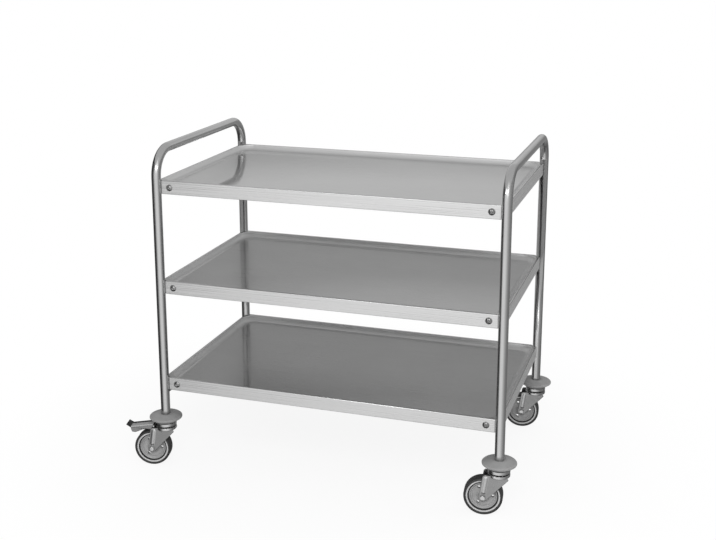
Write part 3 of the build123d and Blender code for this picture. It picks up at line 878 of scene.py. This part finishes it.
class TROLLEY_OT_fixings(bpy.types.Operator):
    """Build the flanged button head screws, and finish the nuts and tabs behind the skirts"""

    bl_idname = "trolley.fixings"
    bl_label = "Shelf fixings"

    def execute(self, context):
        settings = context.scene.trolley_fixing
        steel = metal("fixing_steel", settings.steel, settings.roughness)
        top = settings.flange_height + settings.head_height
        flat = settings.socket * np.cos(pi / 6)
        socket_rim, socket_lip, dome_steps, steps = 1.12 * settings.socket, 0.3 * MM, 12, 48
        # The dome is a cap of a sphere over the head's foot
        ball = (settings.head**2 + settings.head_height**2) / (2 * settings.head_height)
        edge = 90 - np.degrees(np.arcsin(np.array((socket_rim, settings.head)) / ball))
        dome = arc((0, top - ball), ball, *edge, dome_steps)
        socket = np.array([(flat, top - settings.socket_depth), (flat, dome[0, 1] - socket_lip)])
        head, flange, shank = settings.head / MM, settings.flange / MM, settings.shank / MM
        lift, end = settings.flange_height / MM, -settings.shank_length / MM
        flange_line = (head, lift, 0), (flange, lift, 0.4), (flange, 0, 0.25)
        foot = rounded((*flange_line, (shank, 0, 0.2), (shank, end, 0.8), (1, end, 0)), False)
        profile = np.concatenate([socket, dome, foot[1:]])
        screw = turned(profile, steps, hexed=np.arange(len(profile)) < len(socket), flat=flat)
        screws = []
        for level in LEVELS:
            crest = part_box(f"{level}_tray")[1].z
            for x, y, _ in post_spots().values():
                out = np.array((0.0, np.sign(y), 0.0))
                centre = (x - np.sign(x) * settings.offset, y, crest - settings.drop)
                screws.append(screw.placed(centre, np.cross(UP, out), UP, out))
        make_piece("shelf_screw_heads", screws, [steel], "frame", "fixings", "shelf_screws")
        coat_node("shelf_nuts", steel)
        dull = metal("dull_tab", settings.tab, settings.tab_roughness)
        for side in ("left", "right"):
            coat_node(f"{side}_tabs", dull)
        return {"FINISHED"}


class TROLLEY_OT_bumpers(bpy.types.Operator):
    """Build the round rubber bumpers at the feet of the posts"""

    bl_idname = "trolley.bumpers"
    bl_label = "Bumpers"

    def execute(self, context):
        settings = context.scene.trolley_caster
        rubber = polymer("bumper_rubber", settings.rubber)
        plug = polymer("tube_plug", settings.plug)
        shape = turned(rounded(BUMPER_LINE), ring=True)
        for corner, spot in post_spots().items():
            shell = shape.placed(spot, *np.eye(3))
            ring, node = f"{corner}_bumper_ring", f"{corner}_bumper"
            make_piece(ring, [shell], [rubber], "frame", "bumper_rubber", node)
            coat_node(f"{corner}_tube_plug", plug)
        return {"FINISHED"}


class TROLLEY_OT_swivels(bpy.types.Operator):
    """Build the fixed top plates of the swivel heads, and finish the stems and balls in them"""

    bl_idname = "trolley.swivels"
    bl_label = "Swivel heads"

    def execute(self, context):
        bright = bright_head(context.scene.trolley_caster)
        shape = turned(rounded(PLATE_LINE), ring=True)
        for corner, spot in post_spots().items():
            shell = shape.placed(spot, *np.eye(3))
            make_piece(f"{corner}_head_plate", [shell], [bright], "frame", "zinc", f"{corner}_top_plate")
            coat_node(f"{corner}_stem", bright)
            coat_node(f"{corner}_swivel_balls", bright)
        return {"FINISHED"}


class TROLLEY_OT_forks(bpy.types.Operator):
    """Build the pressed forks: a crown cup and two ribbed legs each"""

    bl_idname = "trolley.forks"
    bl_label = "Forks"

    def execute(self, context):
        settings = context.scene.trolley_caster
        zinc = metal("zinc_plate", settings.zinc, settings.zinc_roughness)
        # Painted highlight: the ribs take a lighter grey of the legs' zinc
        ribs = metal("pressed_rib", settings.rib, settings.zinc_roughness)
        finishes = [zinc, bright_head(settings), ribs]
        # A rib's foot is sunk into its leg, and its flanks take most of its width
        far, sunk, flank = settings.leg_far, 0.1 * MM, 0.45 * settings.rib_width
        leg_edge, leg_step = 1.0 * MM, 4 * MM
        cup = turned(rounded(CUP_LINE), ring=True, material=1)
        leg_outline = spaced(rounded(LEG_LINE, steps=10), leg_step)
        leg = plate(leg_outline, settings.leg_near, far, leg_edge, steps=4)
        rib_outline = slot(*RIB_LINE, settings.rib_width)
        rib = pillow(rib_outline, far - sunk, far + settings.rib_height, flank, material=2)
        for corner in CORNERS:
            spot, trail, axle, _ = caster_axes(corner)
            shells = [cup.placed(spot, trail, axle, UP)]
            for side in SIDES:
                shells += [part.placed(spot, trail, UP, axle * side) for part in (leg, rib)]
            name, body = f"{corner}_fork_pressing", f"{corner}_swivel"
            make_piece(name, shells, finishes, body, "zinc", f"{corner}_fork")
        return {"FINISHED"}


class TROLLEY_OT_axles(bpy.types.Operator):
    """Build the axle bolts with their nuts, and finish the sleeves that the wheels turn on"""

    bl_idname = "trolley.axles"
    bl_label = "Axles"

    def execute(self, context):
        settings = context.scene.trolley_caster
        bright = bright_head(settings)
        outside = settings.leg_far

        def hexed(rows):
            """A turned profile whose marked rows follow the bolt's hexagon."""
            rows = np.array(rows)
            return turned(rows[:, :2] * MM, steps=48, hexed=rows[:, 2], flat=settings.bolt_flat)

        head, nut = hexed(BOLT_ROWS), hexed(NUT_ROWS)
        for corner in CORNERS:
            _, trail, axle, hub = caster_axes(corner)
            side = np.cross(axle, trail)
            shells = [
                head.placed(hub - axle * outside, trail, side, axle),
                nut.placed(hub + axle * outside, trail, side, axle),
            ]
            name, body = f"{corner}_axle_screw", f"{corner}_swivel"
            make_piece(name, shells, [bright], body, "zinc", f"{corner}_axle_bolt")
            coat_node(f"{corner}_axle_sleeve", bright)
        return {"FINISHED"}


def hole_patch(settings, span, sides):
    """The web round one opening, front and back, in the wheel's own axes: points and faces. Its rows run on
    straight lines from the opening's rounded edge to the outline, which is a piece of a ring."""
    near, far, pitch = settings.web_near, settings.web_far, settings.hole_pitch
    half = pi / settings.bays
    around = np.linspace(-half, half, span + 1)
    radii = np.linspace(near, far, sides + 1)
    ring = np.concatenate(
        [
            np.stack([np.full(sides, -half), radii[:-1]], -1),
            np.stack([around[:-1], np.full(span, far)], -1),
            np.stack([np.full(sides, half), radii[:0:-1]], -1),
            np.stack([around[:0:-1], np.full(span, near)], -1),
        ]
    )
    outline = polar(ring[:, 1], ring[:, 0])
    edge = unit(outline - (pitch, 0))
    # Rounding of the opening's edge with its rows, and the places of the web's rows
    lip, lip_rows, web_shares = 0.8 * MM, 5, (0.06, 0.5, 1.0)
    bend = np.radians(np.linspace(0, 90, lip_rows))
    edge_rows = (pitch, 0) + edge[None] * (settings.hole + lip * (1 - np.cos(bend)))[:, None, None]
    share = np.array(web_shares)[:, None, None]
    web_rows = edge_rows[-1] * (1 - share) + outline * share
    plan = np.concatenate([edge_rows, web_rows])
    height = np.full(plan.shape[:2], settings.web_half)
    height[: len(bend)] -= (lip * (1 - np.sin(bend)))[:, None]
    front = lifted(plan, height)
    patch = np.concatenate([front[::-1], front * (1, 1, -1)])
    return patch.reshape(-1, 3), strips(*patch.shape[:2])


def plain_patch(settings, span, sides):
    """The web between two openings, front and back: a piece of a ring over angle and radius."""
    half = pi / settings.bays
    radii = np.linspace(settings.web_near, settings.web_far, sides + 1)
    angle, radius = np.meshgrid(np.linspace(-half, half, span + 1), radii)
    front = lifted(polar(radius, angle), settings.web_half)
    row, column = np.arange(sides)[:, None] * (span + 1), np.arange(span)[None]
    corner = (row + column).reshape(-1, 1)
    faces = corner + np.array((0, span + 1, span + 2, 1))
    points = front.reshape(-1, 3)
    faces = np.concatenate([faces, faces[:, ::-1] + len(points)])
    return np.concatenate([points, points * (1, 1, -1)]), faces


def wheel_disc(settings, span=16, sides=6):
    """The wheel disc in the wheel's own axes: turned rings inside and outside the openings, and a patch for
    each bay, with the points that meet made one. The groove's faces take a dark grey as painted shade, and
    those beyond it a pale grey as painted light."""
    steps, half = settings.bays * span, pi / settings.bays
    start = settings.hole_start - half
    angle = start + np.linspace(0, tau, steps, endpoint=False)
    flat = polar(1, angle)
    web = settings.web_half / MM
    lines = [
        rounded(((settings.web_near / MM, web, 0), *HUB_LINE), False),
        rounded(((settings.web_far / MM, web, 0), *RIM_LINE), False),
    ]
    points, faces, count = [], [], 0
    for line in lines:
        whole = np.concatenate([line, line[-2::-1] * (1, -1)])
        points.append(lifted(whole[:, None, :1] * flat[None], whole[:, 1:]).reshape(-1, 3))
        faces.append(strips(len(whole), steps) + count)
        count += len(points[-1])
    faces[1] = faces[1][:, ::-1]
    patches = [build(settings, span, sides) for build in (hole_patch, plain_patch)]
    for k in range(settings.bays):
        middle = start + half + k * tau / settings.bays
        cos, sin = np.cos(middle), np.sin(middle)
        patch_points, patch_faces = patches[k % 2]
        points.append(patch_points @ np.array(((cos, sin, 0), (-sin, cos, 0), (0, 0, 1))))
        faces.append(patch_faces + count)
        count += len(points[-1])
    points, faces = np.concatenate(points), np.concatenate(faces)
    # Points closer than this meet
    meeting = 0.002 * MM
    keys = np.round(points / meeting).astype(np.int64)
    _, first, place = np.unique(keys, axis=0, return_index=True, return_inverse=True)
    faces = place.reshape(-1)[faces]
    points = points[first]
    radius = np.linalg.norm(points[faces][..., :2], axis=-1).mean(axis=1)
    # Painted shade on the groove's faces, painted light on the ring beyond
    paint = np.searchsorted((settings.groove_near, settings.groove_far), radius)
    return Shell(points, [faces], material=paint)


class TROLLEY_OT_wheels(bpy.types.Operator):
    """Build the wheel discs with their round openings, and the dark tyres on them"""

    bl_idname = "trolley.wheels"
    bl_label = "Wheels"

    def execute(self, context):
        settings = context.scene.trolley_caster
        plastic = polymer("wheel_plastic", settings.disc)
        # Painted shade for the groove and painted light for the outer ring
        groove = polymer("wheel_groove", settings.groove)
        pale = polymer("wheel_rim_ring", settings.rim)
        rubber = polymer("tyre_rubber", settings.tyre)
        seat, wheel, half = settings.seat / MM, settings.wheel / MM, settings.tyre_half / MM
        # Rounding of the tyre's outer and inner edges
        tread, bead = settings.tread_round / MM, 1.2
        corners = ((seat, -half, bead), (wheel, -half, tread), (wheel, half, tread), (seat, half, bead))
        tyre = turned(rounded(corners, steps=10), steps=128, ring=True)
        disc = wheel_disc(settings)
        for corner in CORNERS:
            _, trail, axle, hub = caster_axes(corner)
            side = np.cross(axle, trail)
            body, finishes = f"{corner}_wheel", [plastic, groove, pale]
            shell = disc.placed(hub, trail, -side, -axle)
            make_piece(f"{corner}_wheel_disc", [shell], finishes, body, "wheel_plastic", f"{body}_rim")
            shell = tyre.placed(hub, trail, side, axle)
            make_piece(f"{corner}_tyre_ring", [shell], [rubber], body, "tyre_rubber", f"{corner}_tyre")
        return {"FINISHED"}


class TROLLEY_OT_brakes(bpy.types.Operator):
    """Build the brake pedals: bent tread in a lighter grey as painted light, dark pad and tip as painted
    shade, two eared flanges, and a shoe over the tyre
    """

    bl_idname = "trolley.brakes"
    bl_label = "Brakes"

    def execute(self, context):
        settings = context.scene.trolley_caster
        zinc = metal("zinc_plate", settings.zinc, settings.zinc_roughness)
        # Painted shade: the dark pad along the top and the dark tip
        dark = polymer("pedal_tread", settings.tread)
        # Painted light: the tread takes the ribs' lighter zinc grey
        pale = metal("tread_zinc", settings.rib, settings.zinc_roughness, settings.tread_metal)
        near, far, tip_half = settings.arm_near, settings.arm_far, settings.arm_far + 0.3 * MM
        # Rounding of each piece's edges, the longest step along the bent ones, and an ear's arc in degrees
        plate_edge, tip_edge, pad_edge, shoe_edge = 0.5 * MM, 0.6 * MM, 0.25 * MM, 0.4 * MM
        longest, ear_ends, ear_steps = 6 * MM, (96, 256), 16
        ear = arc((settings.pin_back, settings.pin_height), settings.ear, *ear_ends, ear_steps)
        flange = plate(np.concatenate([ear, rounded(FLANGE_LINE, False)[1:-1]]), near, far, plate_edge)
        tread = plate(spaced(rounded(PEDAL_LINE, steps=8), longest), -far, far, plate_edge, material=2)
        tip = plate(rounded(TIP_LINE), -tip_half, tip_half, tip_edge, material=1)
        outline = spaced(rounded(PAD_LINE), longest)
        pad = plate(outline, settings.pad_near, settings.pad_far, pad_edge, material=1)
        shoe = plate(rounded(SHOE_LINE), -near, near, shoe_edge)
        for corner in BRAKED:
            spot, trail, axle, _ = caster_axes(corner)
            shells = [part.placed(spot, trail, UP, axle) for part in (tread, tip, pad, shoe, flange)]
            shells.append(flange.placed(spot, trail, UP, -axle))
            name, body = f"{corner}_pedal_plate", f"{corner}_pedal"
            make_piece(name, shells, [zinc, dark, pale], body, "zinc", f"{corner}_brake_pedal")
            coat_node(f"{corner}_brake_pin", zinc)
        return {"FINISHED"}


# Studio

class StageTree(Nodes):
    """The nodes of a stage surface or the world, from nothing."""

    def __init__(self, owner):
        super().__init__(owner)
        self.nodes.clear()

    def light_path(self, *rays):
        """One for the named kinds of ray, and zero for others."""
        path = self.node("ShaderNodeLightPath")
        seen = path.outputs[rays[0]]
        for ray in rays[1:]:
            seen = self.node("ShaderNodeMath", seen, path.outputs[ray], operation="MAXIMUM")
        return seen


def stage_object(name, points, faces, material):
    """A stage surface from points and faces."""
    mesh = bpy.data.meshes.new(name)
    mesh.from_pydata(np.asarray(points).tolist(), [], np.asarray(faces).tolist())
    mesh.materials.append(material)
    piece = bpy.data.objects.new(name, mesh)
    bpy.context.scene.collection.objects.link(piece)
    return piece


def white_sky(settings):
    """World that lights evenly, and is white to the camera and in reflections."""
    world = bpy.data.worlds.new("studio")
    bpy.context.scene.world = world
    tree = StageTree(world)
    even = tree.node("ShaderNodeBackground", WHITE, settings.ambient)
    white = tree.node("ShaderNodeBackground", WHITE, 1.0)
    seen = tree.light_path("Is Camera Ray", "Is Glossy Ray", "Is Transmission Ray")
    tree.node("ShaderNodeOutputWorld", tree.node("ShaderNodeMixShader", seen, even, white))


def pale_floor(settings):
    """Floor that keeps a soft shadow near the trolley and turns into the white background further out."""
    material = bpy.data.materials.new("pale_floor")
    tree = StageTree(material)
    diffuse = tree.node("ShaderNodeBsdfDiffuse", (*settings.floor, 1))
    white = tree.node("ShaderNodeEmission", WHITE, 1.0)
    place = tree.node("ShaderNodeTexCoord").outputs["Object"]
    away = tree.node("ShaderNodeVectorMath", place, operation="LENGTH").outputs["Value"]
    ends = *FLOOR_FADE, settings.floor_white, 1.0
    fade = tree.node("ShaderNodeMapRange", away, *ends, interpolation_type="SMOOTHSTEP")
    seen = tree.light_path("Is Camera Ray")
    share = tree.node("ShaderNodeMath", fade, seen, operation="MULTIPLY")
    tree.node("ShaderNodeOutputMaterial", tree.node("ShaderNodeMixShader", share, diffuse, white))
    corners = FLOOR_HALF * np.array([(-1, -1, 0), (1, -1, 0), (1, 1, 0), (-1, 1, 0)])
    floor = stage_object("floor", corners, [(0, 1, 2, 3)], material)
    floor.visible_glossy = False


def only_reflected(piece):
    """Leaves a studio card out of everything but reflections."""
    piece.visible_camera = piece.visible_diffuse = piece.visible_shadow = False
    piece.visible_transmission = False


def card_wall(name, settings, cards, foot_share):
    """Curved studio card round the trolley. Its grey follows the angle round the middle, and falls to a
    share of it from above the handles down to the foot."""
    material = bpy.data.materials.new(name)
    tree = StageTree(material)
    place = tree.node("ShaderNodeTexCoord").outputs["Object"]
    parts = tree.node("ShaderNodeSeparateXYZ", place)
    angle = tree.node("ShaderNodeMath", parts.outputs["Y"], parts.outputs["X"], operation="ARCTAN2")
    ramp = tree.node("ShaderNodeValToRGB", tree.node("ShaderNodeMapRange", angle, -pi, pi, 0.0, 1.0))
    elements = ramp.color_ramp.elements
    while len(elements) < len(cards):
        elements.new(0.5)
    for element, (degrees, grey) in zip(elements, cards):
        element.position = (degrees + 180) / 360
        element.color = (grey, grey, grey, 1)
    fall = tree.node("ShaderNodeMapRange", parts.outputs["Z"], *CARD_FALL, foot_share, 1.0)
    tree.node("ShaderNodeOutputMaterial", tree.node("ShaderNodeEmission", ramp, fall))
    turn = np.radians(np.linspace(cards[0][0], cards[-1][0], CARD_STEPS + 1))
    ring = polar(settings.wall_radius, turn)
    points = np.concatenate([lifted(ring, height) for height in (settings.wall_low, settings.wall_high)])
    k = np.arange(CARD_STEPS)
    above = k + len(ring)
    faces = np.stack([k, k + 1, above + 1, above], -1)
    only_reflected(stage_object(name, points, faces, material))


def disc_card(name, place, radius, strength, across=(1, 0, 0), steps=CARD_STEPS):
    """Round glowing card that faces the trolley and shows only in reflections: its place plus the radius
    along two lines square to the view, the first also square to the across line."""
    material = bpy.data.materials.new(name)
    tree = StageTree(material)
    tree.node("ShaderNodeOutputMaterial", tree.node("ShaderNodeEmission", WHITE, strength))
    ahead = unit(np.array(place, float))
    side = unit(np.cross(across, ahead))
    turn = np.linspace(0, tau, steps, endpoint=False)
    ring = np.array(place) + polar(radius, turn) @ np.array((side, np.cross(ahead, side)))
    only_reflected(stage_object(name, ring, [np.arange(len(ring))], material))


def soft_lamp(name, place, size, watts):
    """A large soft lamp that looks at the trolley's middle."""
    lamp = bpy.data.lights.new(name, "AREA")
    lamp.shape = "RECTANGLE"
    lamp.size, lamp.size_y = size
    lamp.energy = watts
    piece = bpy.data.objects.new(name, lamp)
    bpy.context.scene.collection.objects.link(piece)
    piece.location = place
    ahead = np.array(LAMP_AIM) - place
    tilt = atan2(ahead[2], hypot(ahead[0], ahead[1]))
    piece.rotation_euler = (pi / 2 + tilt, 0, atan2(-ahead[0], ahead[1]))


class TROLLEY_OT_stage(bpy.types.Operator):
    """Set up the camera, the pale floor, the soft lamps and the studio cards"""

    bl_idname = "trolley.stage"
    bl_label = "Stage"

    def execute(self, context):
        settings = context.scene.trolley_stage
        scene = context.scene
        scene.view_settings.view_transform = "Standard"
        white_sky(settings)
        pale_floor(settings)
        card_wall("front_cards", settings, FRONT_CARDS, 1.0)
        card_wall("back_cards", settings, BACK_CARDS, settings.back_shade)
        reach = settings.wall_radius
        disc_card("ceiling_card", (0, 0, settings.wall_high), reach, settings.ceiling)
        disc_card("ground_card", (0, 0, settings.wall_low), reach, settings.ground)
        for k, place in enumerate(LAMP_FACES):
            disc_card(f"lamp_face_{k + 1}", place, settings.lamp_radius, settings.lamp_glow, UP, LAMP_STEPS)
        for name, (place, size) in SOFT_LAMPS.items():
            soft_lamp(f"{name}_lamp", place, size, getattr(settings, name))
        lens = bpy.data.cameras.new("camera")
        lens.lens = settings.lens
        lens.sensor_width = SENSOR_WIDTH
        lens.shift_y = settings.shift
        camera = bpy.data.objects.new("camera", lens)
        scene.collection.objects.link(camera)
        camera.location = settings.camera
        camera.rotation_euler = (pi / 2 - settings.pitch, 0, settings.yaw)
        scene.camera = camera
        return {"FINISHED"}


OPERATORS = (
    TROLLEY_OT_hoops,
    TROLLEY_OT_trays,
    TROLLEY_OT_fixings,
    TROLLEY_OT_bumpers,
    TROLLEY_OT_swivels,
    TROLLEY_OT_forks,
    TROLLEY_OT_axles,
    TROLLEY_OT_wheels,
    TROLLEY_OT_brakes,
    TROLLEY_OT_stage,
)
SETTINGS = {
    "trolley_tube": TrolleyTubeSettings,
    "trolley_tray": TrolleyTraySettings,
    "trolley_fixing": TrolleyFixingSettings,
    "trolley_caster": TrolleyCasterSettings,
    "trolley_stage": TrolleyStageSettings,
}


class TROLLEY_PT_panel(bpy.types.Panel):
    """Buttons for each group of pieces, and their sizes and colours"""

    bl_idname = "TROLLEY_PT_panel"
    bl_label = "Serving trolley"
    bl_space_type = "VIEW_3D"
    bl_region_type = "UI"
    bl_category = "Trolley"

    def draw(self, context):
        for operator in OPERATORS:
            self.layout.operator(operator.bl_idname)
        for group, settings in SETTINGS.items():
            box = self.layout.box()
            for key in settings.__annotations__:
                box.prop(getattr(context.scene, group), key)


def register():
    for name, settings in SETTINGS.items():
        bpy.utils.register_class(settings)
        setattr(bpy.types.Scene, name, PointerProperty(type=settings))
    for item in (*OPERATORS, TROLLEY_PT_panel):
        bpy.utils.register_class(item)


def unregister():
    for item in (TROLLEY_PT_panel, *reversed(OPERATORS)):
        bpy.utils.unregister_class(item)
    for name, settings in reversed(SETTINGS.items()):
        delattr(bpy.types.Scene, name)
        bpy.utils.unregister_class(settings)


def main():
    register()
    bpy.ops.trolley.hoops()
    bpy.ops.trolley.trays()
    bpy.ops.trolley.fixings()
    bpy.ops.trolley.bumpers()
    bpy.ops.trolley.swivels()
    bpy.ops.trolley.forks()
    bpy.ops.trolley.axles()
    bpy.ops.trolley.wheels()
    bpy.ops.trolley.brakes()
    bpy.ops.trolley.stage()


if __name__ == "__main__":
    main()
